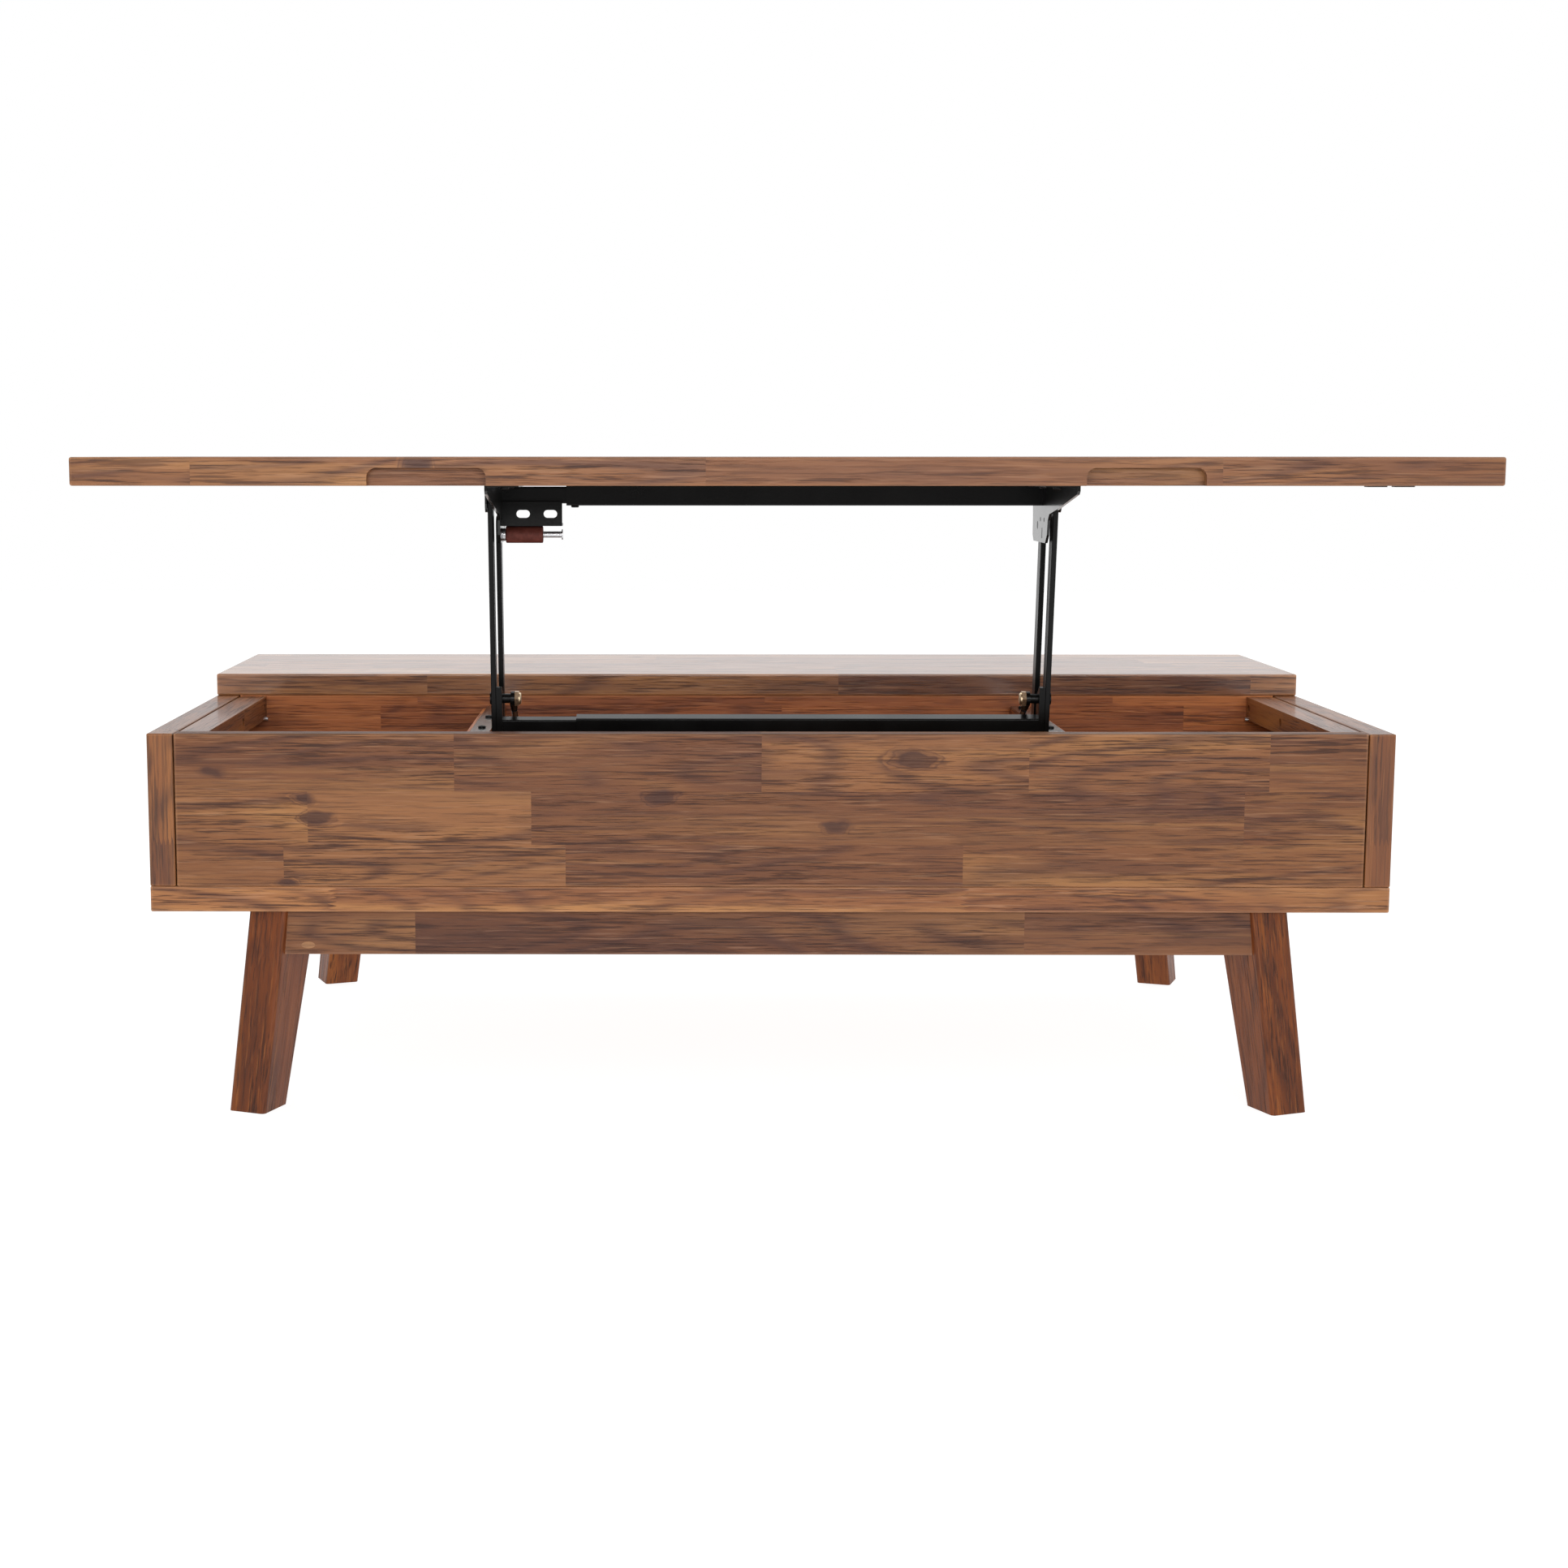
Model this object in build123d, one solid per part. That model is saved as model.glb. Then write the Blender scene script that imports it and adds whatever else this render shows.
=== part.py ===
"""Lift top coffee table: a wooden box on four splayed legs, with a top that swings up and forward.

Units are millimetres. X runs along the table's width, Y from front to back, Z up from the floor.
Every shape is first drawn with y = 0 at the box's front face. write_part() then moves it so that
the origin lies on the floor under the middle of the whole table as it stands, with its top raised.
"""
from build123d import *

import os
from math import atan2, cos, degrees, hypot, radians, sin

# ---- Driving dimensions -------------------------------------------------------------------------
TABLE_WIDTH = 1200.0
TABLE_DEPTH = 650.0
LEG_HEIGHT = 202.0
BOARD_THICKNESS = 25.0
PANEL_HEIGHT = 149.0
SIDE_THICKNESS = 25.0
PANEL_THICKNESS = 22.0
SLAB_THICKNESS = 24.0
LIFT_SLAB_DEPTH = 375.0
SLAB_GAP = 1.5
PAD_THICKNESS = 1.0
PAD_GAP = 0.2

ARM_LENGTH = 241.0
ARM_LEAN = 8.0
ARM_WIDTH = 18.0
ARM_THICKNESS = 5.0
ARM_OUTER_X = 273.0
LIFT_CENTRE_X = 2.0
LINK_OFFSET_Y = 37.0
LINK_OFFSET_Z = -22.0
PLAY = 0.3
SHEET = 2.5
EAR_THICKNESS = 2.0

# ---- Levels and faces worked out from them --------------------------------------------------------
HALF_WIDTH = TABLE_WIDTH / 2
SIDE_INNER_X = HALF_WIDTH - SIDE_THICKNESS
BOARD_TOP = LEG_HEIGHT + BOARD_THICKNESS
RIM = BOARD_TOP + PANEL_HEIGHT
REAR_SLAB_FRONT = LIFT_SLAB_DEPTH + SLAB_GAP
BACK_PANEL_FRONT = TABLE_DEPTH - PANEL_THICKNESS

ARM_RISE = ARM_LENGTH * cos(radians(ARM_LEAN))
ARM_REACH = ARM_LENGTH * (1 + sin(radians(ARM_LEAN)))
ARM_SWING = 90.0 + ARM_LEAN
SLAB_BOTTOM_CLOSED = RIM + PAD_THICKNESS + PAD_GAP
SLAB_BOTTOM = SLAB_BOTTOM_CLOSED + ARM_RISE
SLAB_FRONT = -ARM_REACH
FRONT_FACE_Y = (ARM_REACH - TABLE_DEPTH) / 2

# Pivots as (y, z): the front arm turns on the base at BASE_PIVOT and carries the top at TOP_PIVOT.
TOP_PIVOT = (28.0, SLAB_BOTTOM - 20.0)
BASE_PIVOT = (TOP_PIVOT[0] + ARM_LENGTH * sin(radians(ARM_LEAN)), TOP_PIVOT[1] - ARM_RISE)
REAR_BASE_PIVOT = (BASE_PIVOT[0] + LINK_OFFSET_Y, BASE_PIVOT[1] + LINK_OFFSET_Z)
REAR_TOP_PIVOT = (TOP_PIVOT[0] + LINK_OFFSET_Y, TOP_PIVOT[1] + LINK_OFFSET_Z)

# Layers of the mechanism from outside to inside, as (low x, high x) on the right-hand side.
EAR_LAYER = (ARM_OUTER_X + PLAY, ARM_OUTER_X + PLAY + EAR_THICKNESS)
FRONT_ARM_LAYER = (ARM_OUTER_X - ARM_THICKNESS, ARM_OUTER_X)
REAR_ARM_LAYER = (FRONT_ARM_LAYER[0] - PLAY - ARM_THICKNESS, FRONT_ARM_LAYER[0] - PLAY)
INNER_PLATE_LAYER = (REAR_ARM_LAYER[0] - PLAY - SHEET, REAR_ARM_LAYER[0] - PLAY)
GUSSET_LAYER = (INNER_PLATE_LAYER[1], FRONT_ARM_LAYER[0])

PIVOT_RADIUS = 4.0
PIVOT_CLEARANCE = 0.05
PIVOT_HEAD_RADIUS = 7.0
PIVOT_HEAD_HEIGHT = 1.5

SCREW_RADIUS = 2.0
SCREW_HEAD_RADIUS = 4.0
SCREW_HEAD_HEIGHT = 2.4
SCREW_LENGTH = 15.0


# ---- Shared helpers -------------------------------------------------------------------------------
def block(x_range, y_range, z_range, edge_radius=0.0):
    """A box between pairs of faces, with every edge rounded if edge_radius is given."""
    size = [high - low for low, high in (x_range, y_range, z_range)]
    centre = [(high + low) / 2 for low, high in (x_range, y_range, z_range)]
    solid = Pos(*centre) * Box(*size)
    if edge_radius:
        solid = fillet(solid.edges(), edge_radius)
    return solid


def rod_along_x(radius, x_range, centre_yz):
    """A round bar parallel to X, between two x values."""
    low, high = x_range
    middle = Pos((low + high) / 2, centre_yz[0], centre_yz[1])
    return middle * Rot(0, 90, 0) * Cylinder(radius, high - low)


def rod_along_z(radius, centre_xy, z_range):
    """A round bar parallel to Z, between two z values."""
    low, high = z_range
    return Pos(centre_xy[0], centre_xy[1], (low + high) / 2) * Cylinder(radius, high - low)


def side_plate(outline, x_range, corner_radius=0.0):
    """A plate in the YZ plane from an outline of (y, z) points, between two x values."""
    face = Polygon(*outline, align=None)
    if corner_radius:
        face = fillet(face.vertices(), corner_radius)
    return extrude(Plane.YZ.offset(x_range[0]) * face, amount=x_range[1] - x_range[0])


def to_left(shape):
    """The mirror image of a right-hand shape."""
    return mirror(shape, about=Plane.YZ)


def on_both_sides(shape):
    """A right-hand shape together with its mirror image."""
    return [shape, to_left(shape)]


def solids_of(*shapes):
    """One compound of separate solids, from shapes and lists of shapes."""
    found = []
    for shape in shapes:
        pieces = shape if isinstance(shape, list) else [shape]
        for piece in pieces:
            found.extend(piece.solids())
    return Compound(children=found)


def write_part(name, shape):
    """Move a shape into the table's own frame and write it as one STEP file."""
    moved = Pos(0, FRONT_FACE_Y, 0) * shape
    export_step(moved, os.path.join("parts", name + ".step"))


def shifted_to_lift(shape):
    """A shape of the mechanism moved from the table's centre line to the mechanism's own."""
    return Pos(LIFT_CENTRE_X, 0, 0) * shape


def write_lift_part(name, shape):
    """Write one part that was drawn about the mechanism's centre line."""
    write_part(name, shifted_to_lift(shape))


def screw_down(x, y, head_bottom):
    """A wood screw driven downwards, whose pan head rests on head_bottom."""
    head = rod_along_z(SCREW_HEAD_RADIUS, (x, y), (head_bottom, head_bottom + SCREW_HEAD_HEIGHT))
    head = fillet(head.faces().sort_by(Axis.Z)[-1].edges(), SCREW_HEAD_HEIGHT * 0.6)
    shank = rod_along_z(SCREW_RADIUS, (x, y), (head_bottom - SCREW_LENGTH, head_bottom))
    return head + shank - cross_recess(x, y, head_bottom + SCREW_HEAD_HEIGHT)


def cross_recess(x, y, top):
    """The cross-shaped cut in the top of a screw head."""
    long_side, short_side, depth = 4.4, 1.0, 1.2
    centre = Pos(x, y, top)
    return centre * Box(long_side, short_side, 2 * depth) + centre * Box(short_side, long_side, 2 * depth)


def screw_up(x, y, head_top):
    """A wood screw driven upwards, whose pan head hangs below head_top."""
    upright = screw_down(x, y, -head_top)
    return mirror(upright, about=Plane.XY)


def screw_outwards(head_face_x, y, z, length=SCREW_LENGTH):
    """A wood screw driven towards +X, with its head's back face at head_face_x."""
    head = rod_along_x(SCREW_HEAD_RADIUS, (head_face_x - SCREW_HEAD_HEIGHT, head_face_x), (y, z))
    shank = rod_along_x(SCREW_RADIUS, (head_face_x, head_face_x + length), (y, z))
    return head + shank


# ---- Legs and their frame -------------------------------------------------------------------------
LEG_TURN = 21.8
LEG_FOOT_SIZE = (40.0, 44.5)
LEG_TOP_SIZE = (40.5, 67.0)
LEG_FOOT_CENTRE = (504.5, 27.5)
LEG_TOP_CENTRE = (477.5, 49.0)
LEG_EDGE_RADIUS = 4.0
APRON_HEIGHT = 45.0
APRON_THICKNESS = 22.0
APRON_FRONT_Y = 16.0
SIDE_APRON_X = 456.0


def front_right_leg():
    """A tapered leg that leans out and forward, with its front face turned outwards."""
    sections = []
    for size, centre, height in (
        (LEG_FOOT_SIZE, LEG_FOOT_CENTRE, 0.0),
        (LEG_TOP_SIZE, LEG_TOP_CENTRE, LEG_HEIGHT),
    ):
        rounded = RectangleRounded(size[0], size[1], LEG_EDGE_RADIUS)
        sections.append(Pos(centre[0], centre[1], height) * Rot(0, 0, LEG_TURN) * rounded)
    return loft(sections)


def to_back(shape):
    """The mirror image of a front shape about the middle of the box's depth."""
    return mirror(shape, about=Plane.XZ.offset(-TABLE_DEPTH / 2))


def leg_bolts():
    """Two bolts for each leg, through the bottom board from inside the box."""
    head_radius, head_height, shank_radius, shank_length, spacing = 7.0, 3.0, 4.0, 60.0, 30.0
    turn = radians(LEG_TURN)
    bolts = []
    for step in (-spacing / 2, spacing / 2):
        x = LEG_TOP_CENTRE[0] - step * sin(turn)
        y = LEG_TOP_CENTRE[1] + step * cos(turn)
        head = rod_along_z(head_radius, (x, y), (BOARD_TOP, BOARD_TOP + head_height))
        head = fillet(head.faces().sort_by(Axis.Z)[-1].edges(), head_height * 0.5)
        socket = Pos(x, y, BOARD_TOP + head_height) * extrude(RegularPolygon(2.9, 6), -head_height * 0.6)
        shank = rod_along_z(shank_radius, (x, y), (BOARD_TOP - shank_length, BOARD_TOP))
        bolts.append(head - socket + shank)
    front = bolts + [to_left(bolt) for bolt in bolts]
    return front + [to_back(bolt) for bolt in front]


def apron_plug():
    """The oval wood plug that covers a pocket screw in the front apron's left end."""
    plug_length, plug_height, plug_depth = 13.5, 6.5, 8.0
    oval = Ellipse(plug_length / 2, plug_height / 2)
    place = Plane(origin=(-450.0, APRON_FRONT_Y, LEG_HEIGHT - 36.0), x_dir=(1, 0, 0), z_dir=(0, 1, 0))
    return extrude(place * oval, amount=plug_depth)


def make_leg_frame():
    """Legs, aprons, the plug and the bolts; returns the bolts so that the board can be drilled."""
    legs = {"front_right": front_right_leg()}
    legs["front_left"] = to_left(legs["front_right"])
    legs["back_right"] = to_back(legs["front_right"])
    legs["back_left"] = to_back(legs["front_left"])
    bolts = leg_bolts()
    all_legs = list(legs.values())
    apron_z = (LEG_HEIGHT - APRON_HEIGHT, LEG_HEIGHT)
    long_span = (-LEG_TOP_CENTRE[0], LEG_TOP_CENTRE[0])
    front_range = (APRON_FRONT_Y, APRON_FRONT_Y + APRON_THICKNESS)
    front_apron = block(long_span, front_range, apron_z) - all_legs
    front_apron = front_apron.solids().sort_by(SortBy.VOLUME)[-1]
    side_range = (SIDE_APRON_X, SIDE_APRON_X + APRON_THICKNESS)
    side_y = (LEG_TOP_CENTRE[1], TABLE_DEPTH - LEG_TOP_CENTRE[1])
    side_apron = block(side_range, side_y, apron_z) - all_legs - bolts
    side_apron = side_apron.solids().sort_by(SortBy.VOLUME)[-1]
    plug = apron_plug()
    for name, leg in legs.items():
        write_part("leg_" + name, leg - bolts)
    write_part("apron_front", front_apron - plug)
    write_part("apron_back", to_back(front_apron))
    write_part("apron_right", side_apron)
    write_part("apron_left", to_left(side_apron))
    write_part("apron_plug", plug)
    write_part("leg_bolts", solids_of(bolts))
    return bolts


# ---- Box ------------------------------------------------------------------------------------------
PANEL_GAP = 1.0
WOOD_EDGE = 1.5
SLAB_EDGE = 2.0
RAIL_WIDTH = 28.0
RAIL_HEIGHT = 25.0
RAIL_DROP = 1.0
RAIL_GAP = 2.0
CROSS_RAIL_HEIGHT = 70.0
DIVIDER_INNER_X = 280.0
DIVIDER_THICKNESS = 25.0
DIVIDER_TOP = RIM - 14.0


def rail_screws():
    """Screws at the bottom of round counterbores, which hold the right inner rail to its side panel."""
    head_face = SIDE_INNER_X - RAIL_GAP - RAIL_WIDTH + 12.0
    height = RIM - RAIL_DROP - RAIL_HEIGHT / 2
    return [screw_outwards(head_face, y, height, length=32.0) for y in (85.0, 225.0, 365.0)]


def inner_rail(screws):
    """The ledge along a side panel's inside top edge."""
    outer_x = SIDE_INNER_X - RAIL_GAP
    top = RIM - RAIL_DROP
    rail_x = (outer_x - RAIL_WIDTH, outer_x)
    rail = block(rail_x, (PANEL_THICKNESS, REAR_SLAB_FRONT), (top - RAIL_HEIGHT, top))
    counterbores = []
    for screw in screws:
        centre = screw.bounding_box().center()
        mouth = (outer_x - RAIL_WIDTH, outer_x - RAIL_WIDTH + 12.0)
        counterbores.append(rod_along_x(4.6, mouth, (centre.Y, centre.Z)))
    return rail - counterbores - screws


def rail_pin():
    """A short steel peg near the rear end of the right inner rail."""
    face = SIDE_INNER_X - RAIL_GAP - RAIL_WIDTH
    return rod_along_x(2.2, (face - 2.0, face + 8.0), (REAR_SLAB_FRONT - 4.5, RIM - 26.0))


def divider(cross_rail):
    """The upright board that carries one side of the mechanism and splits the storage."""
    x_range = (DIVIDER_INNER_X, DIVIDER_INNER_X + DIVIDER_THICKNESS)
    low_part = block(x_range, (PANEL_THICKNESS, BACK_PANEL_FRONT), (BOARD_TOP, DIVIDER_TOP))
    rear_y = REAR_SLAB_FRONT + PANEL_THICKNESS
    rear_part = block(x_range, (rear_y, BACK_PANEL_FRONT), (DIVIDER_TOP, RIM))
    return low_part + rear_part - cross_rail


def make_box(bolts, bracket_screws):
    """The fixed wooden box: board, panels, rails, dividers and the rear slab."""
    whole_width = (-HALF_WIDTH, HALF_WIDTH)
    whole_depth = (0.0, TABLE_DEPTH)
    panel_z = (BOARD_TOP, RIM)
    between_sides = (-SIDE_INNER_X + PANEL_GAP, SIDE_INNER_X - PANEL_GAP)
    board = block(whole_width, whole_depth, (LEG_HEIGHT, BOARD_TOP), WOOD_EDGE)
    write_part("bottom_board", board - bolts)

    screws = rail_screws()
    pin = rail_pin()
    side = block((SIDE_INNER_X, HALF_WIDTH), whole_depth, panel_z, WOOD_EDGE) - screws
    rail = inner_rail(screws) - pin
    front = block(between_sides, (0.0, PANEL_THICKNESS), panel_z, WOOD_EDGE)
    back = block(between_sides, (BACK_PANEL_FRONT, TABLE_DEPTH), panel_z, WOOD_EDGE)
    cross_y = (REAR_SLAB_FRONT, REAR_SLAB_FRONT + PANEL_THICKNESS)
    cross_rail = block(between_sides, cross_y, (RIM - CROSS_RAIL_HEIGHT, RIM))
    right_divider = divider(cross_rail)
    rear_slab = block(whole_width, (REAR_SLAB_FRONT, TABLE_DEPTH), (RIM, RIM + SLAB_THICKNESS), SLAB_EDGE)

    write_part("side_panel_right", side)
    write_part("side_panel_left", to_left(side))
    write_part("inner_rail_right", rail)
    write_part("inner_rail_left", to_left(rail))
    write_part("rail_screws", solids_of(screws, [to_left(screw) for screw in screws]))
    write_part("rail_pins", solids_of(on_both_sides(pin)))
    write_part("front_panel", front)
    write_part("back_panel", back)
    write_part("cross_rail", cross_rail)
    write_lift_part("divider_right", right_divider - bracket_screws)
    write_lift_part("divider_left", to_left(right_divider - bracket_screws))
    write_part("rear_slab", rear_slab)


# ---- Fixed side of the mechanism ------------------------------------------------------------------
FLANGE_OUTER_X = 300.0
FLANGE_THICKNESS = 3.0
FLANGE_TOP = DIVIDER_TOP + FLANGE_THICKNESS
BASE_FRONT_Y = BASE_PIVOT[0] - 20.0
BASE_REAR_Y = BASE_PIVOT[0] + 24.0
FLANGE_REAR_Y = 370.0
WEB_BOTTOM = 315.0
LUG_HALF_WIDTH = 19.0
FLANGE_SCREW_X = 290.0
FLANGE_SCREW_Y = (56.0, 150.0, 250.0, 350.0)

STRUT_ALONG_ARM = 48.0
STRUT_ANCHOR = (250.0, 295.0)


def base_bracket():
    """The right base bracket: a long flange on the divider, an outer cheek and an inner lug."""
    pivot_y, pivot_z = BASE_PIVOT
    rear_y, rear_z = REAR_BASE_PIVOT
    cheek_x = (EAR_LAYER[0], EAR_LAYER[0] + FLANGE_THICKNESS)
    cheek = side_plate(
        [
            (BASE_FRONT_Y, FLANGE_TOP),
            (BASE_FRONT_Y, WEB_BOTTOM + 12.0),
            (BASE_FRONT_Y + 10.0, WEB_BOTTOM),
            (BASE_REAR_Y, WEB_BOTTOM),
            (BASE_REAR_Y, FLANGE_TOP),
        ],
        cheek_x,
    )
    front_flange_x = (cheek_x[0], FLANGE_OUTER_X)
    flange = block(front_flange_x, (BASE_FRONT_Y, BASE_REAR_Y), (DIVIDER_TOP, FLANGE_TOP))
    tail_x = (DIVIDER_INNER_X, FLANGE_OUTER_X)
    flange += block(tail_x, (BASE_FRONT_Y, FLANGE_REAR_Y), (DIVIDER_TOP, FLANGE_TOP))
    web_y = (BASE_FRONT_Y + 16.0, rear_y + LUG_HALF_WIDTH)
    web = block((INNER_PLATE_LAYER[0], cheek_x[1]), web_y, (WEB_BOTTOM, WEB_BOTTOM + SHEET))
    lug_top = rear_z + 10.7
    lug = side_plate(
        [
            (rear_y - LUG_HALF_WIDTH, WEB_BOTTOM),
            (rear_y + LUG_HALF_WIDTH, WEB_BOTTOM),
            (rear_y + 11.0, lug_top - 6.0),
            (rear_y + 5.0, lug_top),
            (rear_y - 5.0, lug_top),
            (rear_y - 11.0, lug_top - 6.0),
        ],
        INNER_PLATE_LAYER,
    )
    front_hole = rod_along_x(PIVOT_RADIUS, cheek_x, (pivot_y, pivot_z))
    rear_hole = rod_along_x(PIVOT_RADIUS, INNER_PLATE_LAYER, (rear_y, rear_z))
    stop_hole = rod_along_x(STOP_RADIUS, cheek_x, stop_centre())
    return cheek + flange + web + lug - front_hole - rear_hole - stop_hole


STOP_RADIUS = 3.0
STOP_UP_THE_ARM = 4.0
STOP_GAP = 0.2


def in_arm_frame(pivot, back, up):
    """The (y, z) of a point given by its distances behind and up an arm that turns on pivot."""
    lean = radians(ARM_LEAN)
    y = pivot[0] + back * cos(lean) - up * sin(lean)
    z = pivot[1] + back * sin(lean) + up * cos(lean)
    return (y, z)


def stop_centre():
    """Where the stop pin stands, just in front of the raised front arm."""
    return in_arm_frame(BASE_PIVOT, -(ARM_WIDTH / 2 + STOP_GAP + STOP_RADIUS), STOP_UP_THE_ARM)


def pivot_pin(pivot, x_range):
    """A pin between two x values, flush with the plate that holds it."""
    return rod_along_x(PIVOT_RADIUS, x_range, pivot)


def front_pivot_pin(pivot, plate_outside):
    """The pin through an outer plate and the front arm."""
    return pivot_pin(pivot, (FRONT_ARM_LAYER[0] + 0.2, plate_outside))


def rear_pivot_pin(pivot):
    """The pin through an inner plate and the rear arm, with a low head on the plate's inside."""
    plate_face = INNER_PLATE_LAYER[0]
    head = rod_along_x(PIVOT_HEAD_RADIUS, (plate_face - PIVOT_HEAD_HEIGHT, plate_face), pivot)
    head = fillet(head.faces().sort_by(Axis.X)[0].edges(), PIVOT_HEAD_HEIGHT * 0.6)
    return pivot_pin(pivot, (plate_face, REAR_ARM_LAYER[1] - 0.2)) + head


def strut_anchor(screws):
    """The plate and boss on the divider where the right gas strut's lower stud sits."""
    y, z = STRUT_ANCHOR
    plate_x = (DIVIDER_INNER_X - 3.0, DIVIDER_INNER_X)
    plate = block(plate_x, (y - 22.0, y + 22.0), (z - 12.0, z + 12.0))
    plate = fillet(plate.edges().filter_by(Axis.X), 5.0)
    eye_outer = STRUT_X + EYE_THICKNESS / 2 + PLAY
    eye_inner = STRUT_X - EYE_THICKNESS / 2 - PLAY
    boss = rod_along_x(8.0, (eye_outer, plate_x[0]), STRUT_ANCHOR)
    stud = rod_along_x(STRUT_BOLT_RADIUS, (eye_inner, eye_outer), STRUT_ANCHOR)
    head = rod_along_x(5.5, (eye_inner - 2.5, eye_inner), STRUT_ANCHOR)
    return plate + boss + stud + head - screws


def make_fixed_mechanism(flange_screws, anchor_screws):
    """Everything of the mechanism that is screwed to the dividers."""
    bracket = base_bracket() - flange_screws
    write_lift_part("base_bracket_right", bracket)
    write_lift_part("base_bracket_left", to_left(bracket))
    cheek_outside = EAR_LAYER[0] + FLANGE_THICKNESS
    pins = [front_pivot_pin(BASE_PIVOT, cheek_outside), rear_pivot_pin(REAR_BASE_PIVOT)]
    write_lift_part("base_pivot_pins", solids_of(pins, [to_left(pin) for pin in pins]))
    stop = rod_along_x(STOP_RADIUS, (FRONT_ARM_LAYER[0] + 0.2, cheek_outside), stop_centre())
    write_lift_part("stop_pins", solids_of(on_both_sides(stop)))
    anchor = strut_anchor(anchor_screws)
    write_lift_part("strut_anchor_right", anchor)
    write_lift_part("strut_anchor_left", to_left(anchor))
    screws = flange_screws + anchor_screws
    write_lift_part("bracket_screws", solids_of(screws, [to_left(screw) for screw in screws]))


# ---- Arms and the lower cross bar -----------------------------------------------------------------
TUBE_SIZE = 20.0
TUBE_WALL = 1.8
INNER_TUBE_SIZE = 16.0
INNER_TUBE_WALL = 1.5
LOWER_STEP_X = -190.0
UPPER_STEP_X = -198.0
INNER_TUBE_END_X = -90.0
BAR_UP_THE_ARM = 20.0
LOCK_BOLT_FROM_STEP = 8.0

SLEEVE_RADIUS = 4.7
SLEEVE_LENGTH = 8.0
STRUT_BOLT_RADIUS = 3.0
STRUT_BOLT_HEAD = (6.0, 1.5)
EYE_THICKNESS = 3.6
EYE_RADIUS = 7.0
NUT_ACROSS_FLATS = 13.7
NUT_HEIGHT = 4.0
NUT_DOME_HEIGHT = 2.2
SLEEVE_END_X = GUSSET_LAYER[0] - SLEEVE_LENGTH
EYE_LAYER = (SLEEVE_END_X - PLAY - EYE_THICKNESS, SLEEVE_END_X - PLAY)
NUT_FACE_X = EYE_LAYER[0] - PLAY
STRUT_X = (EYE_LAYER[0] + EYE_LAYER[1]) / 2


def arm(pivot, x_range):
    """A flat steel arm that leans forward from pivot, with a clearance hole at each end."""
    middle = in_arm_frame(pivot, 0.0, ARM_LENGTH / 2)
    top = in_arm_frame(pivot, 0.0, ARM_LENGTH)
    outline = Pos(*middle) * Rot(0, 0, 90.0 + ARM_LEAN) * SlotCenterToCenter(ARM_LENGTH, ARM_WIDTH)
    bar = extrude(Plane.YZ.offset(x_range[0]) * outline, amount=x_range[1] - x_range[0])
    bar = chamfer(bar.faces().filter_by(Axis.X).edges(), 0.6)
    hole_radius = PIVOT_RADIUS + PIVOT_CLEARANCE
    return bar - [rod_along_x(hole_radius, x_range, end) for end in (pivot, top)]


def gusset():
    """The plate on the right front arm that carries the cross bar and the strut bolt."""
    half = ARM_WIDTH / 2
    corners = [(-half, 7.0), (half, 7.0), (half, 50.0), (-half + 5.0, 61.0), (-half, 61.0)]
    outline = [in_arm_frame(BASE_PIVOT, back, up) for back, up in corners]
    return side_plate(outline, GUSSET_LAYER)


def square_tube(size, wall, x_range):
    """A square tube along X, centred on the X axis, open at both ends."""
    outer = RectangleRounded(size, size, 1.5)
    inner = Rectangle(size - 2 * wall, size - 2 * wall)
    length = x_range[1] - x_range[0]
    return extrude(Plane.YZ.offset(x_range[0]) * (outer - inner), amount=length)


def cross_bar(end_x, step_x):
    """A telescoping bar between -end_x and end_x, unplaced: outer tube, inner tube and lock bolt."""
    outer = square_tube(TUBE_SIZE, TUBE_WALL, (step_x, end_x))
    inner = square_tube(INNER_TUBE_SIZE, INNER_TUBE_WALL, (-end_x, INNER_TUBE_END_X))
    head_radius, head_height, shank_radius, shank_length = 3.8, 2.0, 2.0, 6.0
    centre = (step_x + LOCK_BOLT_FROM_STEP, 0.0)
    underside = -TUBE_SIZE / 2
    shank = rod_along_z(shank_radius, centre, (underside, underside + shank_length))
    head = rod_along_z(head_radius, centre, (underside - head_height, underside))
    bolt = shank + fillet(head.faces().sort_by(Axis.Z)[0].edges(), head_height * 0.5)
    return outer - bolt, inner - bolt, bolt


def strut_bolt():
    """The bolt through the right front arm and gusset that carries the strut's upper eye."""
    centre = in_arm_frame(BASE_PIVOT, 0.0, STRUT_ALONG_ARM)
    head_radius, head_height = STRUT_BOLT_HEAD
    head = rod_along_x(head_radius, (ARM_OUTER_X, ARM_OUTER_X + head_height), centre)
    return head + rod_along_x(STRUT_BOLT_RADIUS, (NUT_FACE_X - NUT_HEIGHT, ARM_OUTER_X), centre)


def strut_sleeve():
    """The spacer between the gusset and the strut's upper eye."""
    centre = in_arm_frame(BASE_PIVOT, 0.0, STRUT_ALONG_ARM)
    return rod_along_x(SLEEVE_RADIUS, (SLEEVE_END_X, GUSSET_LAYER[0]), centre)


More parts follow.
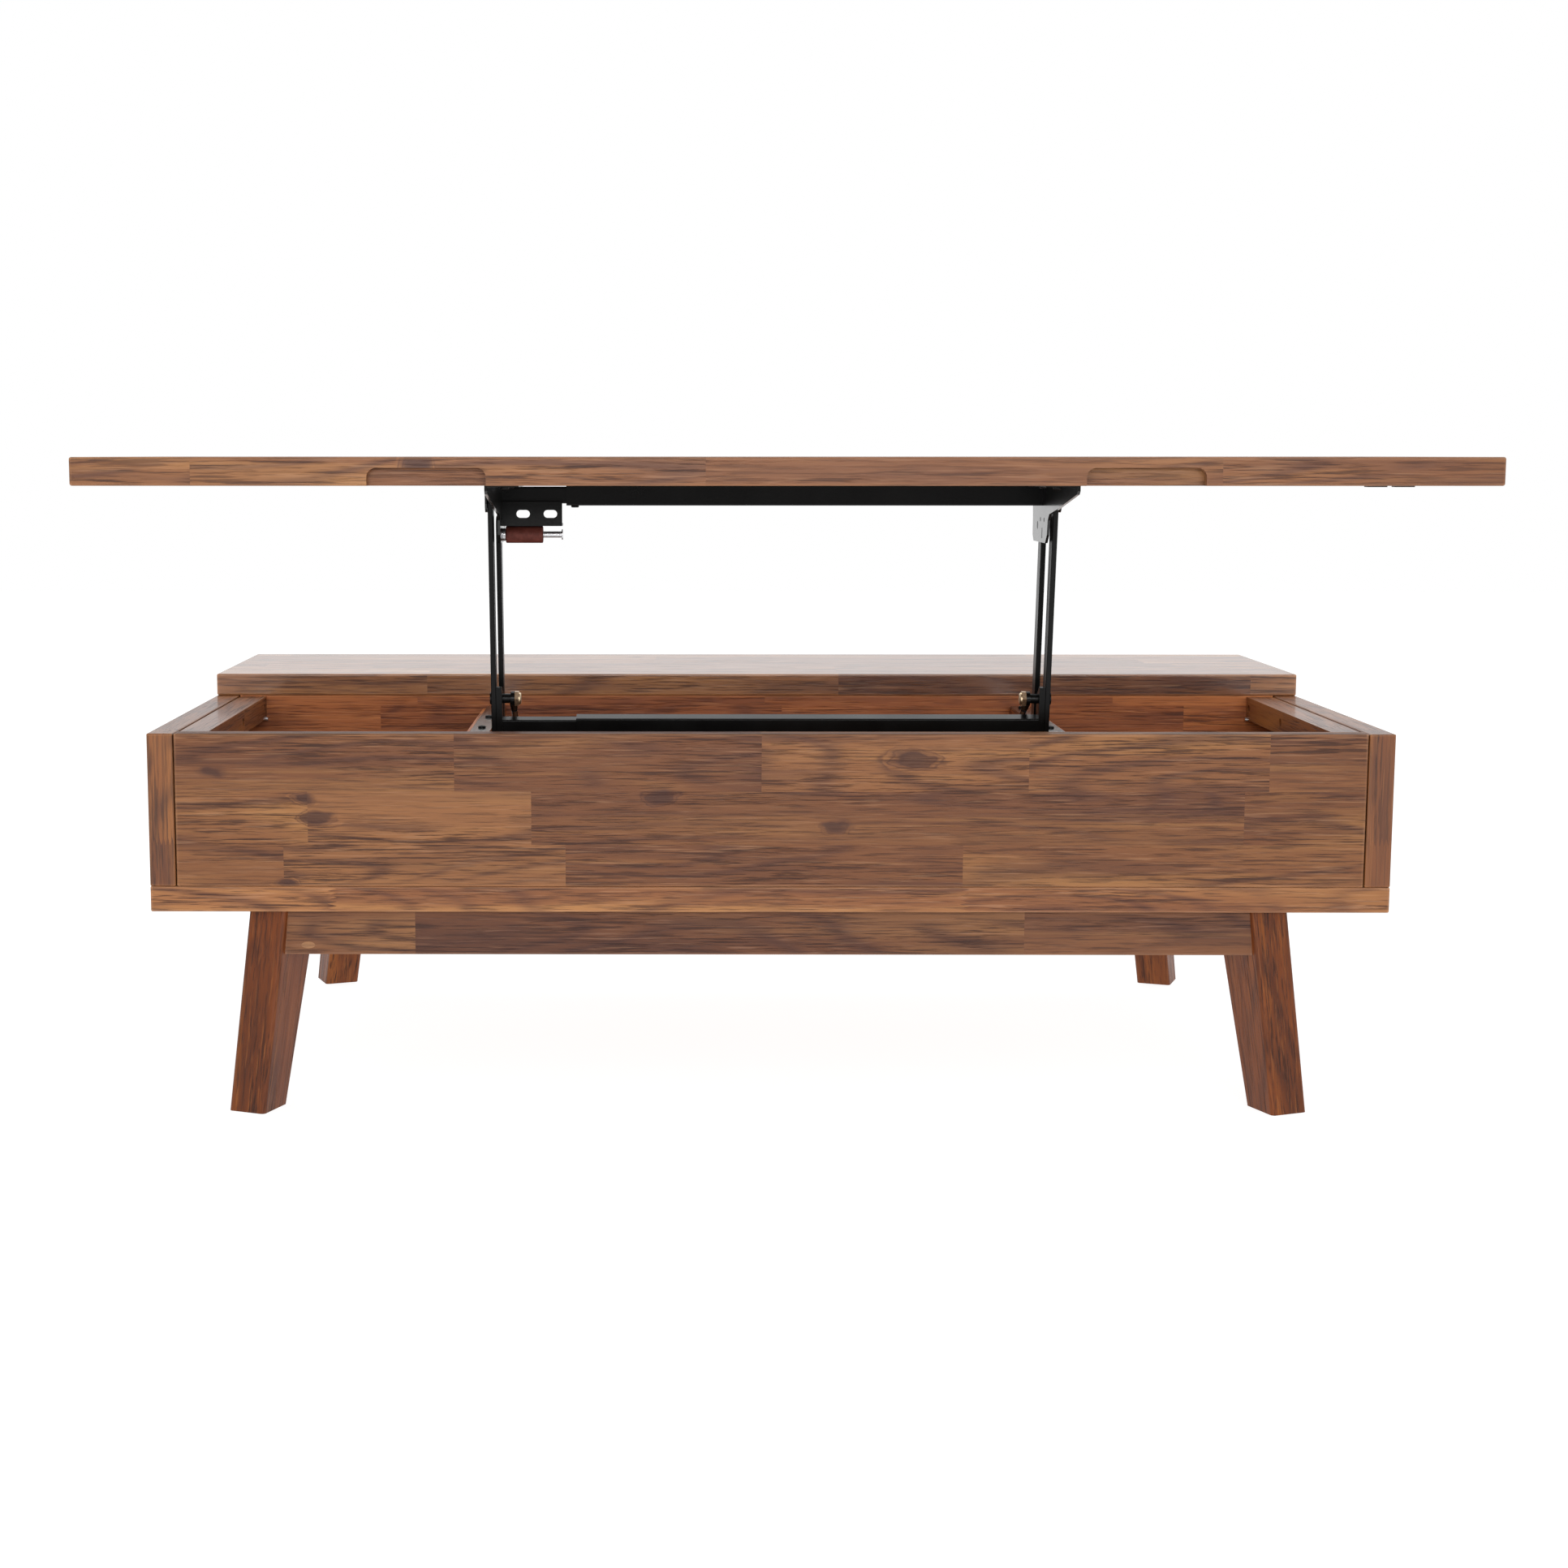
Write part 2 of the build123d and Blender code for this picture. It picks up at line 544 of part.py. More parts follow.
def strut_nut():
    """The domed nut on the inner end of the strut bolt."""
    y, z = in_arm_frame(BASE_PIVOT, 0.0, STRUT_ALONG_ARM)
    place = Plane(origin=(NUT_FACE_X, y, z), x_dir=(0, 1, 0), z_dir=(-1, 0, 0))
    hexagon = RegularPolygon(NUT_ACROSS_FLATS / 2, 6, major_radius=False)
    nut = extrude(place * hexagon, amount=NUT_HEIGHT)
    dome_radius = NUT_ACROSS_FLATS / 2 - 0.8
    dome_range = (NUT_FACE_X - NUT_HEIGHT - NUT_DOME_HEIGHT, NUT_FACE_X - NUT_HEIGHT)
    dome = rod_along_x(dome_radius, dome_range, (y, z))
    dome = fillet(dome.faces().sort_by(Axis.X)[0].edges(), NUT_DOME_HEIGHT * 0.9)
    return nut + dome


def make_arms():
    """Both pairs of arms and what is fastened to the front pair."""
    bolt = strut_bolt()
    front_arm = arm(BASE_PIVOT, FRONT_ARM_LAYER) - bolt
    rear_arm = arm(REAR_BASE_PIVOT, REAR_ARM_LAYER)
    right_gusset = gusset() - bolt
    for name, shape in (("front_arm", front_arm), ("rear_arm", rear_arm), ("arm_gusset", right_gusset)):
        write_lift_part(name + "_right", shape)
        write_lift_part(name + "_left", to_left(shape))
    write_lift_part("strut_bolts", solids_of(on_both_sides(bolt)))
    write_lift_part("strut_sleeves", solids_of(on_both_sides(strut_sleeve() - bolt)))
    write_lift_part("strut_nuts", solids_of(on_both_sides(strut_nut() - bolt)))
    bar_y, bar_z = in_arm_frame(BASE_PIVOT, 0.0, BAR_UP_THE_ARM)
    place = Pos(0, bar_y, bar_z) * Rot(ARM_LEAN, 0, 0)
    for name, shape in zip(("outer", "inner", "bolt"), cross_bar(GUSSET_LAYER[0], LOWER_STEP_X)):
        write_lift_part("lower_bar_" + name, place * shape)


# ---- Gas struts -----------------------------------------------------------------------------------
ROD_RADIUS = 3.0
TUBE_RADIUS = 6.5
STRUT_TUBE_WALL = 1.2
STRUT_TUBE_LENGTH = 106.0
STRUT_TUBE_CAP = 4.0
STRUT_TAIL = 12.0
PISTON_RADIUS = 5.0
PISTON_LENGTH = 8.0
PISTON_DEPTH = 10.0
END_NECK_LENGTH = 22.0
END_NECK_RADIUS = 3.6
END_GAP = 4.5


def strut_ends():
    """The strut's upper eye and lower stud as (y, z), with the top raised."""
    return in_arm_frame(BASE_PIVOT, 0.0, STRUT_ALONG_ARM), STRUT_ANCHOR


def strut_length():
    """The distance from the upper eye to the lower stud, with the top raised."""
    (eye_y, eye_z), (low_y, low_z) = strut_ends()
    return hypot(low_y - eye_y, low_z - eye_z)


def placed_on_strut(shape):
    """A shape drawn down the Z axis, moved to the right strut with its start at the upper eye."""
    (eye_y, eye_z), (low_y, low_z) = strut_ends()
    origin = (STRUT_X, eye_y, eye_z)
    plane = Plane(origin=origin, x_dir=(1, 0, 0), z_dir=(0, low_y - eye_y, low_z - eye_z))
    return plane.location * shape


def flat_eye(distance, neck_start, neck_end):
    """A drilled ring at a distance down the strut, with a flat neck between two more distances."""
    ring = Rot(0, 90, 0) * Cylinder(EYE_RADIUS, EYE_THICKNESS)
    hole = Rot(0, 90, 0) * Cylinder(STRUT_BOLT_RADIUS + PIVOT_CLEARANCE, 2 * EYE_THICKNESS)
    neck = Box(EYE_THICKNESS, 2 * END_NECK_RADIUS, neck_end - neck_start)
    place = Pos(0, 0, distance)
    return place * ring + Pos(0, 0, (neck_start + neck_end) / 2) * neck - place * hole


def round_length(radius, start, end):
    """A round bar between two distances down the strut."""
    return Pos(0, 0, (start + end) / 2) * Cylinder(radius, end - start)


def strut_end():
    """The right strut's upper end fitting: an eye on the arm's bolt, with a short round neck."""
    flat_until = 12.0
    neck = round_length(END_NECK_RADIUS, flat_until, END_NECK_LENGTH)
    return placed_on_strut(flat_eye(0.0, 4.0, flat_until + 1.0) + neck)


def strut_tube_start():
    """How far down the raised strut its tube begins."""
    return strut_length() - STRUT_TAIL - STRUT_TUBE_LENGTH


def strut_rod():
    """The right strut's rod with the piston on its lower end."""
    piston_start = strut_tube_start() + PISTON_DEPTH
    rod = round_length(ROD_RADIUS, END_NECK_LENGTH + END_GAP, piston_start)
    piston = round_length(PISTON_RADIUS, piston_start, piston_start + PISTON_LENGTH)
    return placed_on_strut(rod + piston)


def strut_tube():
    """The right strut's tube, open for the rod at one end, with an eye on the anchor's stud."""
    start = strut_tube_start()
    end = start + STRUT_TUBE_LENGTH
    shell = fillet(round_length(TUBE_RADIUS, start, end).edges(), 1.5)
    bore = TUBE_RADIUS - STRUT_TUBE_WALL
    cavity = round_length(bore, start + STRUT_TUBE_CAP, end - STRUT_TUBE_CAP)
    mouth = round_length(ROD_RADIUS + PIVOT_CLEARANCE, start, start + 2 * STRUT_TUBE_CAP)
    eye = flat_eye(strut_length(), end - 1.0, strut_length() - EYE_RADIUS + 2.0)
    return placed_on_strut(shell - cavity - mouth + eye)


def make_struts():
    """End fitting, rod and tube of each gas strut."""
    for name, shape in (("end", strut_end()), ("rod", strut_rod()), ("tube", strut_tube())):
        write_lift_part("strut_" + name + "_right", shape)
        write_lift_part("strut_" + name + "_left", to_left(shape))


# ---- Lifting top ----------------------------------------------------------------------------------
FINGER_PULL_X = 301.0
FINGER_PULL_WIDTH = 100.0
FINGER_PULL_HEIGHT = 15.0
FINGER_PULL_DEPTH = 11.0
FINGER_PULL_RADIUS = 8.0
TOP_PLATE_FRONT_Y = -165.0
TOP_PLATE_REAR_Y = 98.0
TOP_FLANGE_INNER_X = 232.0
TOP_SCREW_X = 246.0
TOP_SCREW_Y = (-140.0, -60.0, 10.0, 85.0)
UPPER_BAR_Y = 42.0
WING_HOLE_Y = (25.0, 47.0)
WING_HOLE_DROP = 36.0
WING_HOLE_RADIUS = 2.2
WING_SLOT_Y = (34.5, 37.5)
WING_SLOT_DROP = (44.0, 54.0)
PAD_SIZE = (17.0, 14.0)
PAD_X = (495.0, 518.0)
PAD_FRONT_Y = 4.0


def below_slab(outline):
    """An outline of (y, drop) points turned into (y, z), with drop measured down from the slab."""
    return [(y, SLAB_BOTTOM - drop) for y, drop in outline]


def finger_pull(x):
    """The space of one finger pull: a shallow pocket in the front edge, open below."""
    pocket_z = (SLAB_BOTTOM - SLAB_THICKNESS, SLAB_BOTTOM + FINGER_PULL_HEIGHT)
    half = FINGER_PULL_WIDTH / 2
    front_y = SLAB_FRONT - 5.0
    pocket = block((x - half, x + half), (front_y, SLAB_FRONT + FINGER_PULL_DEPTH), pocket_z)
    roof_corners = pocket.edges().filter_by(Axis.Y).group_by(Axis.Z)[-1]
    return fillet(roof_corners, FINGER_PULL_RADIUS)


def lift_slab(screws):
    """The moving half of the table top, with two finger pulls."""
    depth = (SLAB_FRONT, SLAB_FRONT + LIFT_SLAB_DEPTH)
    height = (SLAB_BOTTOM, SLAB_BOTTOM + SLAB_THICKNESS)
    slab = block((-HALF_WIDTH, HALF_WIDTH), depth, height, SLAB_EDGE)
    return slab - [finger_pull(x) for x in (-FINGER_PULL_X, FINGER_PULL_X)] - screws


def top_bracket():
    """The right top bracket: a wing plate inside the arms, an ear outside them, and a flange."""
    front, rear = TOP_PLATE_FRONT_Y, TOP_PLATE_REAR_Y
    top_y = REAR_TOP_PIVOT[0]
    wing = side_plate(
        below_slab(
            [
                (front, 0.0),
                (front, 6.0),
                (front + 4.0, 9.0),
                (-55.0, 24.0),
                (-6.0, 30.0),
                (2.0, 36.0),
                (6.0, 50.0),
                (16.0, 58.0),
                (top_y + 25.0, 58.0),
                (top_y + 31.0, 52.0),
                (top_y + 31.0, 34.0),
                (rear, 22.0),
                (rear, 0.0),
            ]
        ),
        INNER_PLATE_LAYER,
    )
    flange_z = (SLAB_BOTTOM - SHEET, SLAB_BOTTOM)
    flange = block((TOP_FLANGE_INNER_X, INNER_PLATE_LAYER[1]), (front, rear), flange_z)
    pivot_y, pivot_z = TOP_PIVOT
    ear_y = (pivot_y - 12.0, pivot_y + 12.0)
    bridge = block((INNER_PLATE_LAYER[0], EAR_LAYER[1]), ear_y, flange_z)
    ear = block(EAR_LAYER, ear_y, (pivot_z - 9.0, SLAB_BOTTOM))
    ear = fillet(ear.edges().filter_by(Axis.X).group_by(Axis.Z)[0], 8.0)
    slot_z = (SLAB_BOTTOM - WING_SLOT_DROP[1], SLAB_BOTTOM - WING_SLOT_DROP[0])
    holes = [
        rod_along_x(PIVOT_RADIUS, EAR_LAYER, TOP_PIVOT),
        rod_along_x(PIVOT_RADIUS, INNER_PLATE_LAYER, REAR_TOP_PIVOT),
        block(INNER_PLATE_LAYER, WING_SLOT_Y, slot_z),
    ]
    hole_z = SLAB_BOTTOM - WING_HOLE_DROP
    holes += [rod_along_x(WING_HOLE_RADIUS, INNER_PLATE_LAYER, (y, hole_z)) for y in WING_HOLE_Y]
    return wing + flange + bridge + ear - holes


BUFFER_X = (202.0, INNER_PLATE_LAYER[0])
BUFFER_PLATE_DROP = (19.0, 42.2)
BUFFER_AXIS = (45.0, SLAB_BOTTOM - 50.7)
BUFFER_PIN_RADIUS = 3.0
ROLLER_RADIUS = 8.2
ROLLER_X = (221.0, 257.0)
BUFFER_SLOTS_X = (239.5, 213.3)
BUFFER_SLOT_SIZE = (13.0, 7.5)


def buffer_bracket():
    """The slotted plate in front of the upper bar's left end, with a fold along its bottom."""
    plate_y = (UPPER_BAR_Y - TUBE_SIZE / 2 - SHEET - 0.2, UPPER_BAR_Y - TUBE_SIZE / 2 - 0.2)
    top_drop, bottom_drop = BUFFER_PLATE_DROP
    plate_z = (SLAB_BOTTOM - bottom_drop, SLAB_BOTTOM - top_drop)
    plate = block(BUFFER_X, plate_y, plate_z)
    plate = fillet(plate.edges().filter_by(Axis.Y).group_by(Axis.X)[0], 2.0)
    fold = block(BUFFER_X, (plate_y[0], plate_y[0] + 20.0), (plate_z[0], plate_z[0] + SHEET))
    tab_x = (BUFFER_X[1] - SHEET, BUFFER_X[1])
    bar_bottom = SLAB_BOTTOM - SHEET - 0.2 - TUBE_SIZE
    tab = block(tab_x, (plate_y[0], plate_y[0] + 20.0), (plate_z[0], bar_bottom - 0.5))
    slot_centre_z = (plate_z[0] + plate_z[1]) / 2
    slots = []
    for x in BUFFER_SLOTS_X:
        slot_face = Plane.XZ.offset(-plate_y[1]) * (Pos(x, slot_centre_z) * SlotOverall(*BUFFER_SLOT_SIZE))
        slots.append(extrude(slot_face, amount=SHEET))
    return to_left(plate + fold + tab - slots)


def buffer_pin():
    """The steel pin that the brown roller turns on, with a nut at the plate and a thin end washer."""
    pin = rod_along_x(BUFFER_PIN_RADIUS, (BUFFER_X[0] + 1.0, BUFFER_X[1]), BUFFER_AXIS)
    washer = rod_along_x(5.0, (BUFFER_X[0], BUFFER_X[0] + 1.0), BUFFER_AXIS)
    collar = rod_along_x(6.0, (ROLLER_X[1] + 0.4, BUFFER_X[1]), BUFFER_AXIS)
    return to_left(pin + washer + collar)


def buffer_roller():
    """The brown rubber roller."""
    roller = rod_along_x(ROLLER_RADIUS, ROLLER_X, BUFFER_AXIS)
    roller = fillet(roller.edges(), 1.2)
    bore = rod_along_x(BUFFER_PIN_RADIUS + PIVOT_CLEARANCE, ROLLER_X, BUFFER_AXIS)
    return to_left(roller - bore)


def edge_pad(x):
    """A thin felt pad under the slab's front edge, which comes to rest on the front panel."""
    width, depth = PAD_SIZE
    front_y = SLAB_FRONT + PAD_FRONT_Y
    pad_z = (SLAB_BOTTOM - PAD_THICKNESS, SLAB_BOTTOM)
    pad = block((x - width / 2, x + width / 2), (front_y, front_y + depth), pad_z)
    return fillet(pad.edges().filter_by(Axis.Z), 3.0)


def make_top():
    """The lifting slab and everything that moves with it."""
    screws = [screw_up(TOP_SCREW_X, y, SLAB_BOTTOM - SHEET) for y in TOP_SCREW_Y]
    all_screws = screws + [to_left(screw) for screw in screws]
    write_part("lift_slab", lift_slab([shifted_to_lift(screw) for screw in all_screws]))
    bracket = top_bracket() - screws
    write_lift_part("top_bracket_right", bracket)
    write_lift_part("top_bracket_left", to_left(bracket))
    write_lift_part("top_screws", solids_of(all_screws))
    rear_pin_x = (INNER_PLATE_LAYER[0], REAR_ARM_LAYER[1] - 0.2)
    pins = [front_pivot_pin(TOP_PIVOT, EAR_LAYER[1]), pivot_pin(REAR_TOP_PIVOT, rear_pin_x)]
    write_lift_part("top_pivot_pins", solids_of(pins, [to_left(pin) for pin in pins]))
    bar_z = SLAB_BOTTOM - SHEET - 0.2 - TUBE_SIZE / 2
    place = Pos(0, UPPER_BAR_Y, bar_z)
    for name, shape in zip(("outer", "inner", "bolt"), cross_bar(INNER_PLATE_LAYER[0], UPPER_STEP_X)):
        write_lift_part("upper_bar_" + name, place * shape)
    write_lift_part("buffer_bracket", buffer_bracket())
    write_lift_part("buffer_pin", buffer_pin())
    write_lift_part("buffer_roller", buffer_roller())
    write_part("edge_pads", solids_of([edge_pad(x) for x in PAD_X]))


def print_joint_data():
    """Print the places and ratios that the record states, in millimetres and degrees."""
    for name, pivot in (
        ("lift", BASE_PIVOT),
        ("top_level", TOP_PIVOT),
        ("rear_arms", REAR_BASE_PIVOT),
        ("rear_arm_top", REAR_TOP_PIVOT),
        ("strut_eye", strut_ends()[0]),
        ("roller", BUFFER_AXIS),
    ):
        print(name, round(pivot[0] + FRONT_FACE_Y, 4), round(pivot[1], 4))
    (eye_y, eye_z), (low_y, low_z) = strut_ends()
    closed_y = BASE_PIVOT[0] + STRUT_ALONG_ARM
    closed_z = BASE_PIVOT[1]
    raised_angle = degrees(atan2(low_z - eye_z, low_y - eye_y))
    closed_angle = degrees(atan2(low_z - closed_z, low_y - closed_y))
    closed_length = hypot(low_y - closed_y, low_z - closed_z)
    print("swing", ARM_SWING, "strut turn", ARM_SWING + closed_angle - raised_angle)
    print("strut direction", (low_y - eye_y) / strut_length(), (low_z - eye_z) / strut_length())
    print("strut stroke", strut_length() - closed_length)
    print("front face y", FRONT_FACE_Y, "slab bottom", SLAB_BOTTOM, "slab front", SLAB_FRONT + FRONT_FACE_Y)


def main():
    os.makedirs("parts", exist_ok=True)
    flange_screws = [screw_down(FLANGE_SCREW_X, y, FLANGE_TOP) for y in FLANGE_SCREW_Y]
    anchor_y, anchor_z = STRUT_ANCHOR
    anchor_face = DIVIDER_INNER_X - 3.0
    anchor_screws = [screw_outwards(anchor_face, anchor_y + step, anchor_z) for step in (-15.0, 15.0)]
    bolts = make_leg_frame()
    make_box(bolts, flange_screws + anchor_screws)
    make_fixed_mechanism(flange_screws, anchor_screws)
    make_arms()
    make_struts()
    make_top()
    print_joint_data()


main()
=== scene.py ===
"""The lift top coffee table's finishes, small fittings, light and camera. Lengths are in metres."""

import math
import random

import bmesh
import bpy
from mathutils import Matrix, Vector


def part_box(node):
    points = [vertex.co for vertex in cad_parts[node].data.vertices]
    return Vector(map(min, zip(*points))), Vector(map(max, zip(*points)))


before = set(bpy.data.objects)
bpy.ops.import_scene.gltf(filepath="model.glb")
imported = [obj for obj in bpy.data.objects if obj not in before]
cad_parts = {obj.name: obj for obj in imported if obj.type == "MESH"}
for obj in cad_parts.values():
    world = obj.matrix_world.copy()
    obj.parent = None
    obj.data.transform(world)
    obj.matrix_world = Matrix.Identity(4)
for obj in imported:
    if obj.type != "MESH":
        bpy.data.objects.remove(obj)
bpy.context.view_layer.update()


# ---- Working a finish -----------------------------------------------------------------------------
class Reading:
    """One value or colour inside a finish; Python's operators add the Math nodes."""

    def __init__(self, finish, socket):
        self.finish = finish
        self.socket = socket

    def math(self, operation, *numbers):
        """A Math node on this value and the numbers or readings given."""
        inputs = {place: number for place, number in enumerate((self, *numbers))}
        return self.finish.node("ShaderNodeMath", {"operation": operation}, inputs)

    def __add__(self, other):
        return self.math("ADD", other)

    __radd__ = __add__

    def __mul__(self, other):
        return self.math("MULTIPLY", other)

    __rmul__ = __mul__

    def __sub__(self, other):
        return self.math("SUBTRACT", other)

    def __rsub__(self, other):
        return self.finish.node("ShaderNodeMath", {"operation": "SUBTRACT"}, {0: other, 1: self})

    def __truediv__(self, other):
        return self.math("DIVIDE", other)

    def __gt__(self, other):
        return self.math("GREATER_THAN", other)

    def __abs__(self):
        return self.math("ABSOLUTE")

    def floor(self):
        """The whole number below this value."""
        return self.math("FLOOR")

    def between(self, low, high):
        """0 below low, 1 above high, and a soft step from one to the other."""
        return self.finish.node(
            "ShaderNodeMapRange",
            {"interpolation_type": "SMOOTHSTEP"},
            {"Value": self, "From Min": low, "From Max": high, "To Min": 0.0, "To Max": 1.0},
        )


class Finish:
    """One material while it is being made, around its Principled shader."""

    def __init__(self, name, **constants):
        self.material = bpy.data.materials.new(name)
        self.material.use_nodes = True
        self.tree = self.material.node_tree
        self.shader = self.tree.nodes["Principled BSDF"]
        for label, value in constants.items():
            self.shader.inputs[label.replace("_", " ")].default_value = value

    def node(self, kind, settings=None, inputs=None, output=0):
        """Add one node: its settings first, then its sockets' values or links."""
        made = self.tree.nodes.new(kind)
        for key, value in (settings or {}).items():
            if key == "stops":
                self.set_stops(made.color_ramp, value)
            else:
                setattr(made, key, value)
        for key, value in (inputs or {}).items():
            self.feed(made.inputs[key], value)
        return Reading(self, made.outputs[output])

    def feed(self, socket, value):
        """Link a reading to a socket, or set the socket's own value."""
        if isinstance(value, Reading):
            self.tree.links.new(value.socket, socket)
        else:
            socket.default_value = value

    @staticmethod
    def set_stops(colour_ramp, stops):
        """Give a ramp its stops, as (position, colour) pairs in rising order."""
        elements = colour_ramp.elements
        while len(elements) < len(stops):
            elements.new(1.0)
        for element, (position, colour) in zip(elements, stops):
            element.position = position
            element.color = (*colour, 1.0)

    def position(self):
        """The three coordinates of the point on the object."""
        place = self.node("ShaderNodeTexCoord", output="Object")
        return self.split(place)

    def split(self, vector):
        """The three parts of a vector or colour."""
        first = self.node("ShaderNodeSeparateXYZ", None, {0: vector})
        return [Reading(self, socket) for socket in first.socket.node.outputs]

    def join(self, x, y, z):
        """A vector from three values."""
        return self.node("ShaderNodeCombineXYZ", None, {0: x, 1: y, 2: z})

    def noise(self, vector, detail=2.0, roughness=0.5, distortion=0.0):
        """Cloudy noise between 0 and 1, on a vector that already has its scale."""
        inputs = {
            "Vector": vector,
            "Scale": 1.0,
            "Detail": detail,
            "Roughness": roughness,
            "Distortion": distortion,
        }
        return self.node("ShaderNodeTexNoise", None, inputs)

    def luck(self, x, y, z):
        """Three random values that stay the same wherever x, y and z do."""
        colour = self.node("ShaderNodeTexWhiteNoise", None, {"Vector": self.join(x, y, z)}, output=1)
        return self.split(colour)

    def mix(self, amount, first, second):
        """A colour between two colours."""
        shown = [value if isinstance(value, Reading) else (*value, 1.0) for value in (first, second)]
        inputs = {0: amount, 6: shown[0], 7: shown[1]}
        return self.node("ShaderNodeMix", {"data_type": "RGBA"}, inputs, output=2)

    def ramp(self, value, stops):
        """The colour at a value along a ramp."""
        return self.node("ShaderNodeValToRGB", {"stops": stops}, {0: value})

    def done(self, colour, roughness, height=None, relief=0.0002):
        """Link colour, roughness and relief to the shader and return the material."""
        shown = colour if isinstance(colour, Reading) else (*colour, 1.0)
        self.feed(self.shader.inputs["Base Color"], shown)
        self.feed(self.shader.inputs["Roughness"], roughness)
        if height is not None:
            inputs = {"Strength": 1.0, "Distance": relief, "Height": height}
            self.feed(self.shader.inputs["Normal"], self.node("ShaderNodeBump", None, inputs))
        return self.material


# ---- Timber ---------------------------------------------------------------------------------------
STAVE_BROWNS = [
    (0.00, (0.150, 0.053, 0.019)),
    (0.25, (0.176, 0.064, 0.023)),
    (0.55, (0.200, 0.075, 0.026)),
    (0.80, (0.222, 0.086, 0.030)),
    (1.00, (0.258, 0.105, 0.037)),
]
PLUG_BROWNS = [(0.0, (0.29, 0.14, 0.06)), (1.0, (0.34, 0.17, 0.08))]
HEARTWOOD = (0.068, 0.023, 0.014)
GOLDEN_BAND = (0.430, 0.205, 0.066)
PORE_BROWN = (0.038, 0.014, 0.009)
KNOT_BROWN = (0.040, 0.014, 0.011)
# a light brown for painted highlights along board edges and in glint dashes
PAINTED_HIGHLIGHT_BROWN = (0.400, 0.205, 0.105)
TOOTH_PITCH = 0.0042
TOOTH_LENGTH = 0.009


def numbered_staves(along, over, edges, joints):
    """Row and column numbers of listed staves: row edges, and each row's joints."""
    passed = [over > edge for edge in edges]
    row = passed[0]
    for step in passed[1:]:
        row = row + step
    in_row = [1.0 - passed[0]]
    in_row += [lower - upper for lower, upper in zip(passed, passed[1:])]
    in_row.append(passed[-1])
    column = row * 0.0
    for here, places in zip(in_row, joints):
        for place in places:
            column = column + here * (along > place)
    return row, column


def regular_staves(finish, along, over, width, length, seed):
    """Row and column numbers of staves of one width, with each row's joints shifted by luck."""
    row = (over / width + seed * 0.37).floor()
    shift, stretch, _ = finish.luck(row, seed, 3.0)
    column = (along / (length * (stretch * 0.6 + 0.7)) + shift * 9.0).floor()
    return row, column


def finger_teeth(value):
    """How far a finger joint reaches along the grain: pointed teeth side by side."""
    turns = value / TOOTH_PITCH
    return abs(turns - turns.floor() - 0.5) * (2.0 * TOOTH_LENGTH)


def knot_nearness(finish, along, over, knots, seed):
    """A value that rises to 1 at each knot's ragged middle, drawn out along the grain."""
    ragged = finish.noise(finish.join(along * 45.0, over * 110.0, seed), 3.0) - 0.5
    bent = finish.noise(finish.join(along * 30.0, over * 60.0, seed + 7.0), 2.0) - 0.5
    total = None
    for place, height, size in knots:
        run = (along - place + ragged * 0.026) / (size * 1.9)
        rise = (over - height + bent * 0.014) / (size * 0.8)
        spread = run * run + rise * rise
        near = 1.0 - spread.between(0.0, 2.6)
        near = near * near
        total = near if total is None else total + near
    return total


def board_edges(finish, point, corners):
    """1 along the edges of a board between two corners, 0 on its faces."""
    close = []
    for value, low, high in zip(point, *corners):
        middle = (low + high) / 2
        half = (high - low) / 2
        close.append(abs(value - middle).between(half - 0.0030, half - 0.0008))
    return close[0] * close[1] + close[1] * close[2] + close[2] * close[0]


